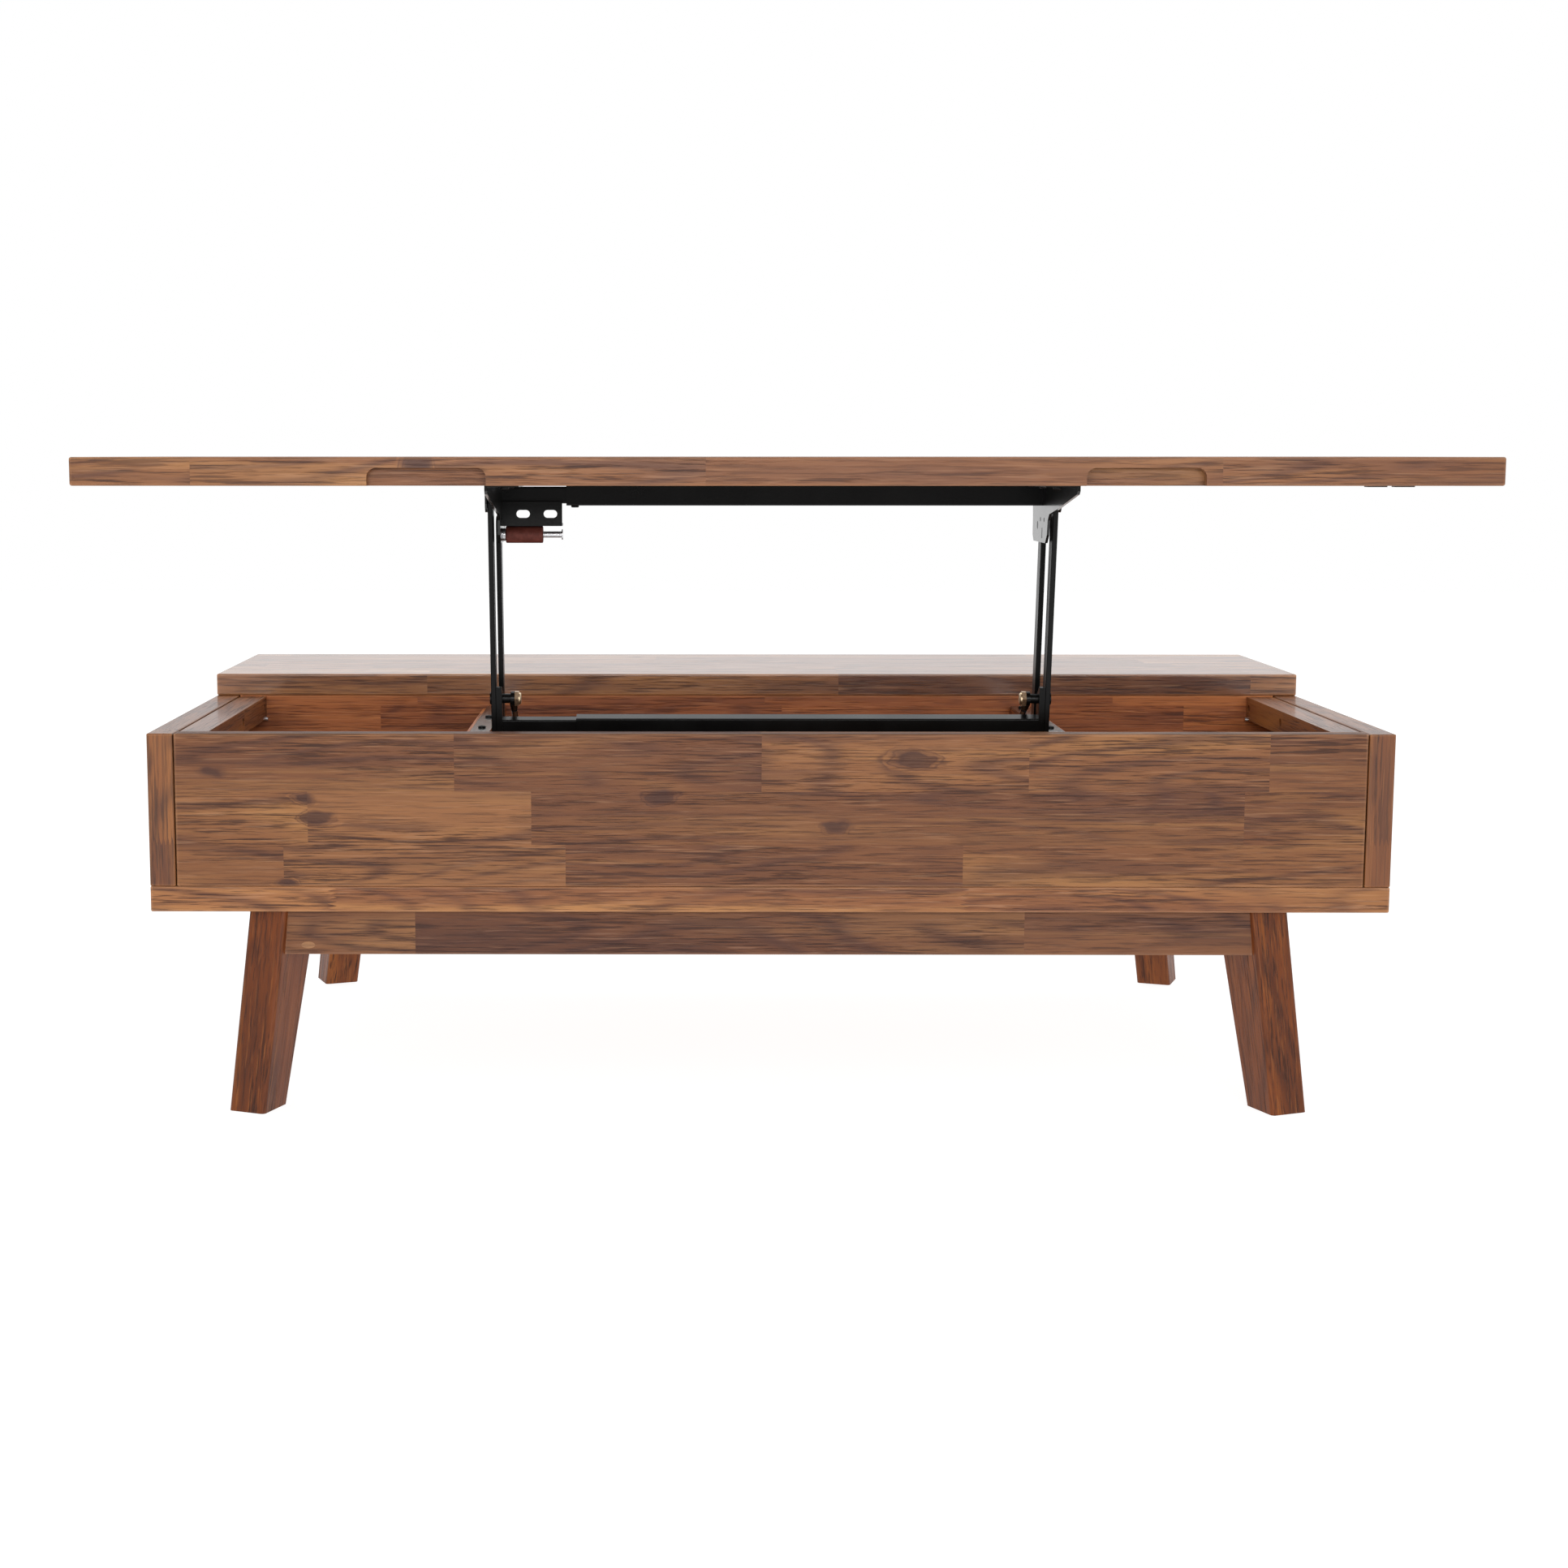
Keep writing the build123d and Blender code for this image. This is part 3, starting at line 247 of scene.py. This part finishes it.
def timber(
    name,
    grain,
    over,
    seed,
    staves,
    knots=(),
    lean=(0.0, 0.0),
    corners=None,
    tint=(1.0, 1.0, 1.0),
    gloss=0.40,
    varnish=0.0,
    browns=STAVE_BROWNS,
    lipping=None,
    teeth=None,
):
    """Oiled acacia: staves of differing browns with figure, pores, golden bands and knots.

    grain and over are the axes (0, 1, 2) along and across the staves. staves is either
    (row edges, joints of each row) or (stave width, stave length). In front of the depth named
    by lipping the grain runs upright. teeth is the axis that a joint's fingers stand beside.
    """
    finish = Finish(name, Specular_IOR_Level=0.30, Coat_Weight=varnish, Coat_Roughness=0.16)
    point = finish.position()
    leaning = [point[0] - point[2] * lean[0], point[1] - point[2] * lean[1], point[2]]
    along = leaning[grain]
    across = leaning[over]
    through = leaning[3 - grain - over]
    if lipping is not None:
        on_body = point[1] > lipping
        on_lip = 1.0 - on_body
        along = along * on_body + point[2] * on_lip
        across = across * on_body + (point[0] + 2.0) * on_lip
        through = through * on_body + point[1] * on_lip
    joined = along if teeth is None else along + finger_teeth(point[teeth])
    if isinstance(staves[0], (list, tuple)):
        row, column = numbered_staves(joined, across, *staves)
    else:
        row, column = regular_staves(finish, joined, across, staves[0], staves[1], seed)
    tone, shift, kind = finish.luck(row, column, seed + 0.5)

    run = along + shift * 7.0
    side = across + kind * 3.0
    deep = through + tone * 2.0

    def figure(run_scale, side_scale, detail, distortion=0.0, start=0.0):
        vector = finish.join(run * run_scale + start, side * side_scale, deep * side_scale)
        return finish.noise(vector, detail, 0.58, distortion)

    near_knot = knot_nearness(finish, along, across, knots, seed) if knots else None
    contour = figure(2.4, 15.0, 0.5) * 12.0
    if near_knot is not None:
        contour = contour + near_knot * 2.2
    rings = (contour * math.tau).math("SINE") * 0.5 + 0.5
    rings = rings * rings * rings
    streaks = figure(1.7, 85.0, 4.0)
    broad = figure(1.8, 19.0, 3.0, 0.6, start=5.0)
    lines = figure(17.0, 470.0, 4.0, start=2.0)
    fine = figure(26.0, 800.0, 2.0, start=12.0)
    patches = figure(3.0, 26.0, 2.0, start=9.0)
    dashes = lines.between(0.51, 0.62) * (patches.between(0.30, 0.62) * 0.65 + 0.35)
    pores = fine.between(0.54, 0.68) * (patches.between(0.30, 0.62) * 0.7 + 0.3)
    # painted highlight: short light dashes that stand in for glints on the oiled grain
    glint_dashes = figure(16.0, 420.0, 2.0, start=17.0).between(0.56, 0.70)

    colour = finish.ramp(tone, browns)
    colour = finish.mix(broad.between(0.50, 0.70) * (kind * 0.45 + 0.20), colour, GOLDEN_BAND)
    colour = finish.mix(broad.between(0.50, 0.30) * 0.62, colour, HEARTWOOD)
    colour = finish.mix(streaks.between(0.50, 0.74) * 0.34, colour, HEARTWOOD)
    colour = finish.mix(streaks.between(0.46, 0.30) * 0.24, colour, GOLDEN_BAND)
    colour = finish.mix(rings * (patches.between(0.34, 0.56) * 0.62), colour, HEARTWOOD)
    colour = finish.mix(dashes * 0.80, colour, PORE_BROWN)
    colour = finish.mix(pores * 0.60, colour, PORE_BROWN)
    colour = finish.mix(glint_dashes * (patches * 0.55), colour, PAINTED_HIGHLIGHT_BROWN)
    if near_knot is not None:
        colour = finish.mix(near_knot.between(0.04, 0.80) * 0.50, colour, HEARTWOOD)
        colour = finish.mix(near_knot.between(0.62, 1.00) * 0.62, colour, KNOT_BROWN)
    # painted highlight: board edges are lightened where light would catch their rounding
    if corners is not None:
        edge_glint = board_edges(finish, point, corners) * (patches * 0.45)
        colour = finish.mix(edge_glint, colour, PAINTED_HIGHLIGHT_BROWN)
    # The tint multiplies the colour: the wood's own hue on most boards, painted light where it brightens the
    # shaded rear slab and bottom board.
    if tint != (1.0, 1.0, 1.0):
        hue_and_painted_light = {0: 1.0, 6: colour, 7: (*tint, 1.0)}
        settings = {"data_type": "RGBA", "blend_type": "MULTIPLY"}
        colour = finish.node("ShaderNodeMix", settings, hue_and_painted_light, output=2)
    roughness = dashes * 0.14 + streaks * 0.10 + gloss
    height = 1.0 - dashes * 0.6 - pores * 0.4 - streaks * 0.2
    return finish.done(colour, roughness, height, relief=0.00030)


# ---- Metal, rubber and felt -----------------------------------------------------------------------
def powder_coat(name, depth=0.0022, roughness=0.20, lacquer=0.0):
    """Black powder coat: a fine orange-peel skin with faint dust and worn patches."""
    finish = Finish(name, Specular_IOR_Level=0.15, Coat_Weight=lacquer, Coat_Roughness=0.12)
    x, y, z = finish.position()
    skin = finish.noise(finish.join(x * 900.0, y * 900.0, z * 900.0), 2.0)
    cloud = finish.noise(finish.join(x * 22.0, y * 22.0, z * 22.0), 3.0)
    speck = finish.noise(finish.join(x * 2100.0, y * 2100.0, z * 2100.0), 1.0).between(0.70, 0.80)
    dusty = depth * 2.1
    shade = finish.mix(cloud.between(0.35, 0.75) * 0.6, (depth, depth, depth), (dusty, dusty, dusty))
    shade = finish.mix(speck * 0.2, shade, (0.03, 0.03, 0.03))
    return finish.done(shade, cloud * 0.16 + roughness + skin * 0.06, skin, relief=0.00006)


def plated_steel(name, light, dark, roughness=0.26):
    """Zinc plated steel: a bright metal with a faint crystal pattern and handling marks."""
    finish = Finish(name, Metallic=1.0)
    x, y, z = finish.position()
    crystals = finish.noise(finish.join(x * 700.0, y * 700.0, z * 700.0), 3.0)
    smears = finish.noise(finish.join(x * 90.0, y * 90.0, z * 90.0), 2.0)
    shade = finish.mix(crystals.between(0.3, 0.7), dark, light)
    return finish.done(shade, smears * 0.22 + roughness, crystals, relief=0.00004)


def brown_rubber(name):
    """Moulded red-brown rubber with a matt bloom."""
    finish = Finish(name, Specular_IOR_Level=0.15)
    x, y, z = finish.position()
    bloom = finish.noise(finish.join(x * 160.0, y * 160.0, z * 160.0), 3.0)
    grit = finish.noise(finish.join(x * 1500.0, y * 1500.0, z * 1500.0), 2.0)
    shade = finish.mix(bloom.between(0.3, 0.75), (0.085, 0.020, 0.014), (0.135, 0.036, 0.026))
    return finish.done(shade, bloom * 0.2 + 0.42, grit, relief=0.00008)


def pressed_felt(name):
    """Dark brown felt with loose fibres."""
    finish = Finish(name, Sheen_Weight=0.3)
    x, y, z = finish.position()
    fibres = finish.noise(finish.join(x * 1400.0, y * 2600.0, z * 2600.0), 3.0, 0.6, 1.2)
    shade = finish.mix(fibres, (0.020, 0.013, 0.010), (0.065, 0.045, 0.036))
    return finish.done(shade, 0.95 - fibres * 0.1, fibres, relief=0.0003)


# ---- Giving the table's own parts their finishes --------------------------------------------------
ALONG_WIDTH = 0
ALONG_DEPTH = 1
UPRIGHT = 2
FRONT_FACE_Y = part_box("front_panel")[0][1]


def give(material, *nodes):
    """Put a material on parts of the frame."""
    for node in nodes:
        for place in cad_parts[node].material_slots:
            place.material = material


def scattered_knots(seed, corners, grain, over, count):
    """Knots at random places on a board, a few millimetres to a centimetre across."""
    draw = random.Random(seed)
    low, high = corners
    knots = []
    for _ in range(count):
        place = draw.uniform(low[grain], high[grain])
        height = draw.uniform(low[over] + 0.01, high[over] - 0.01)
        knots.append((place, height, draw.uniform(0.004, 0.009)))
    return knots


def board(node, grain, over, seed, staves, knots=0, **more):
    """Give one board its own timber. Its seed says which part of the log it is cut from."""
    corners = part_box(node)
    spots = knots
    if isinstance(knots, int):
        spots = scattered_knots(seed, corners, grain, over, knots)
    material = timber("acacia_" + node, grain, over, seed, staves, spots, corners=corners, **more)
    give(material, node)


FRONT_PANEL_STAVES = (
    [0.268, 0.320],
    [[-0.470, -0.197, 0.187], [-0.446, -0.230, 0.457], [-0.304, -0.008, 0.249, 0.480]],
)
FRONT_PANEL_KNOTS = [
    (-0.537, 0.339, 0.008),
    (0.138, 0.352, 0.013),
    (-0.106, 0.315, 0.009),
    (0.064, 0.286, 0.008),
    (-0.449, 0.314, 0.007),
    (-0.437, 0.294, 0.010),
    (-0.468, 0.231, 0.006),
]

LIFT_SLAB_KNOTS = [
    (-0.310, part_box("lift_slab")[0][1], 0.006),
    (0.240, 0.0, 0.008),
    (-0.100, -0.20, 0.007),
]

LIPPING_DEPTH = 0.040
SIDE_PANEL_STAVES = (
    [0.277, 0.327, 1.0],
    [[0.05, 0.30], [-0.02, 0.22], [0.12, 0.38], [0.276]],
)
BOTTOM_BOARD_STAVES = (
    [-0.10, 0.03, 0.16, 0.30],
    [[-0.419, 0.194], [-0.30, 0.05, 0.41], [-0.12, 0.28], [-0.38, 0.02, 0.36], [-0.22, 0.15]],
)
ONE_STAVE = ([5.0], [[], []])
INNER_AMBER = (1.85, 1.45, 1.05)
SIDE_AMBER = (0.88, 0.70, 0.42)
LEG_AMBER = (0.92, 0.60, 0.26)
# painted light: a brightening tint on the rear slab and the bottom board, lifting boards that sit in shade
PAINTED_LIGHT_TINT = (1.30, 1.32, 1.35)
# a darker, bluer tint on the aprons than on the rest of the timber
APRON_DARK_TINT = (0.78, 0.77, 0.88)


def finish_timber():
    """Give every wooden part its acacia."""
    board("front_panel", ALONG_WIDTH, UPRIGHT, 11.0, FRONT_PANEL_STAVES, FRONT_PANEL_KNOTS)
    board("back_panel", ALONG_WIDTH, UPRIGHT, 23.0, (0.052, 0.36), 5)
    board("bottom_board", ALONG_WIDTH, ALONG_DEPTH, 31.0, BOTTOM_BOARD_STAVES, 2, teeth=UPRIGHT, tint=PAINTED_LIGHT_TINT)
    board("lift_slab", ALONG_WIDTH, ALONG_DEPTH, 42.0, (0.048, 0.46), LIFT_SLAB_KNOTS, varnish=0.15)
    board("rear_slab", ALONG_WIDTH, ALONG_DEPTH, 57.0, (0.048, 0.42), 5, varnish=0.7, gloss=0.30, tint=PAINTED_LIGHT_TINT)
    board("cross_rail", ALONG_WIDTH, UPRIGHT, 61.0, (0.035, 0.38), 1, tint=INNER_AMBER)
    fitted = {"lipping": FRONT_FACE_Y + LIPPING_DEPTH, "teeth": ALONG_WIDTH, "varnish": 0.4}
    for number, side in enumerate(("left", "right")):
        panel = "side_panel_" + side
        board(panel, ALONG_DEPTH, UPRIGHT, 70.0 + number, SIDE_PANEL_STAVES, 2, tint=SIDE_AMBER, **fitted)
        board("divider_" + side, ALONG_DEPTH, UPRIGHT, 80.0 + number, (0.045, 0.30), 1, tint=INNER_AMBER)
        rail = 90.0 + number
        board("inner_rail_" + side, ALONG_DEPTH, UPRIGHT, rail, (0.060, 0.40), tint=SIDE_AMBER, varnish=0.4)
        board("apron_" + side, ALONG_DEPTH, UPRIGHT, 100.0 + number, (0.060, 0.33), 1, tint=APRON_DARK_TINT)
    board("apron_front", ALONG_WIDTH, UPRIGHT, 111.0, ([0.150], [[], [-0.345, 0.250]]), tint=APRON_DARK_TINT)
    board("apron_back", ALONG_WIDTH, UPRIGHT, 112.0, ([0.150], [[], [-0.150, 0.330]]), 1, tint=APRON_DARK_TINT)
    for number, (end, hand) in enumerate((("front", -1), ("front", 1), ("back", -1), ("back", 1))):
        node = "leg_{}_{}".format(end, "left" if hand < 0 else "right")
        lean = (-hand * 0.13, 0.104 if end == "front" else -0.104)
        material = timber("acacia_" + node, UPRIGHT, 0, 121.0 + number, ONE_STAVE, (), lean, tint=LEG_AMBER)
        give(material, node)
    plug = timber("pale_plug", ALONG_WIDTH, UPRIGHT, 131.0, ONE_STAVE, browns=PLUG_BROWNS)
    give(plug, "apron_plug")


def finish_fittings():
    """Give the mechanism, the fixings and the pads their finishes."""
    black = powder_coat("black_powder_coat")
    glossy = powder_coat("black_bracket_coat", lacquer=0.7)
    give(glossy, "base_bracket_left", "base_bracket_right", "top_bracket_left", "top_bracket_right")
    give(black, "front_arm_left", "front_arm_right", "rear_arm_left", "rear_arm_right")
    give(black, "arm_gusset_left", "arm_gusset_right", "buffer_bracket", "strut_sleeves")
    give(black, "lower_bar_outer", "lower_bar_inner", "upper_bar_outer", "upper_bar_inner")
    give(black, "strut_anchor_left", "strut_anchor_right")
    blacked = powder_coat("blacked_bolts", 0.003, 0.26)
    give(blacked, "base_pivot_pins", "top_pivot_pins", "stop_pins", "strut_bolts")
    give(blacked, "lower_bar_bolt", "upper_bar_bolt", "leg_bolts", "bracket_screws", "top_screws")
    zinc = plated_steel("bright_zinc", (0.72, 0.72, 0.73), (0.50, 0.50, 0.52))
    give(zinc, "rail_screws", "rail_pins", "buffer_pin")
    give(plated_steel("yellow_zinc", (0.74, 0.60, 0.42), (0.55, 0.42, 0.27)), "strut_nuts")
    gloss = powder_coat("gloss_black_strut", 0.002, 0.14)
    give(gloss, "strut_tube_left", "strut_tube_right", "strut_end_left", "strut_end_right")
    rod = plated_steel("dark_polished_rod", (0.20, 0.20, 0.21), (0.13, 0.13, 0.14), 0.14)
    give(rod, "strut_rod_left", "strut_rod_right")
    give(brown_rubber("brown_rubber"), "buffer_roller")
    give(pressed_felt("brown_felt"), "edge_pads")


# ---- Set, light and camera ------------------------------------------------------------------------
CAMERA_LENS_MM = 56.18
CAMERA_PLACE = (-0.1008, FRONT_FACE_Y - 2.3347, 0.6423)
CAMERA_DOWN = 0.1348
CAMERA_TURN = 0.0064
CAMERA_SHIFT = (0.0857, 0.0012)
DIM_ROOM = 0.30
FLOOR_HALF_WIDTH = 9.0
FLOOR_GLOW = 0.90


def pale_floor():
    """A wide white floor with a faint unevenness."""
    mesh = bpy.data.meshes.new("floor")
    shape = bmesh.new()
    bmesh.ops.create_grid(shape, x_segments=8, y_segments=8, size=FLOOR_HALF_WIDTH)
    shape.to_mesh(mesh)
    shape.free()
    floor = bpy.data.objects.new("floor", mesh)
    bpy.context.scene.collection.objects.link(floor)
    finish = Finish("white_paper", Specular_IOR_Level=0.0, Emission_Strength=FLOOR_GLOW)
    finish.shader.inputs["Emission Color"].default_value = (1.0, 1.0, 1.0, 1.0)
    x, y, z = finish.position()
    cloud = finish.noise(finish.join(x * 0.8, y * 0.8, z), 2.0)
    mesh.materials.append(finish.done(finish.mix(cloud, (0.26, 0.26, 0.26), (0.30, 0.30, 0.30)), 1.0))


def soft_box(name, place, target, size, power):
    """A large area light at a place, turned towards a target."""
    lamp = bpy.data.lights.new(name, "AREA")
    lamp.shape = "RECTANGLE"
    lamp.size, lamp.size_y = size
    lamp.energy = power
    light = bpy.data.objects.new(name, lamp)
    light.location = place
    light.rotation_euler = (Vector(target) - Vector(place)).to_track_quat("-Z", "Y").to_euler()
    bpy.context.scene.collection.objects.link(light)


def white_room():
    """A world that is white to look at and behind the table, and dim behind the camera."""
    world = bpy.data.worlds.new("white_room")
    world.use_nodes = True
    tree = world.node_tree
    place = tree.nodes.new("ShaderNodeTexCoord")
    parts = tree.nodes.new("ShaderNodeSeparateXYZ")
    level = tree.nodes.new("ShaderNodeMapRange")
    ray = tree.nodes.new("ShaderNodeLightPath")
    seen = tree.nodes.new("ShaderNodeMath")
    seen.operation = "MAXIMUM"
    level.interpolation_type = "SMOOTHSTEP"
    for label, value in (("From Min", -0.45), ("From Max", 0.25), ("To Min", DIM_ROOM), ("To Max", 1.0)):
        level.inputs[label].default_value = value
    tree.links.new(place.outputs["Generated"], parts.inputs[0])
    tree.links.new(parts.outputs["Y"], level.inputs["Value"])
    tree.links.new(level.outputs[0], seen.inputs[0])
    tree.links.new(ray.outputs["Is Camera Ray"], seen.inputs[1])
    tree.links.new(seen.outputs[0], tree.nodes["Background"].inputs["Strength"])
    tree.nodes["Background"].inputs["Color"].default_value = (1.0, 1.0, 1.0, 1.0)
    bpy.context.scene.world = world


def light_the_set():
    """An even white room with a soft front light and a broad light from above."""
    white_room()
    middle = (0.0, 0.1, 0.35)
    soft_box("front_light", (1.5, -3.4, 2.6), middle, (2.4, 1.8), 22.0)
    soft_box("low_light", (0.1, -3.6, 1.15), middle, (3.0, 0.6), 62.0)
    soft_box("side_light", (-2.4, -2.6, 1.9), middle, (1.8, 1.8), 10.0)
    soft_box("top_light", (0.3, 0.6, 3.2), middle, (3.2, 2.4), 40.0)


def place_camera():
    """The camera, a little left of the middle and looking slightly down."""
    data = bpy.data.cameras.new("camera")
    data.lens = CAMERA_LENS_MM
    data.sensor_width = 36.0
    data.shift_x, data.shift_y = CAMERA_SHIFT
    camera = bpy.data.objects.new("camera", data)
    camera.location = CAMERA_PLACE
    camera.rotation_euler = (math.pi / 2 - CAMERA_DOWN, 0.0, CAMERA_TURN)
    bpy.context.scene.collection.objects.link(camera)
    bpy.context.scene.camera = camera
    bpy.context.scene.view_settings.view_transform = "Standard"


place_camera()
light_the_set()
pale_floor()
finish_timber()
finish_fittings()
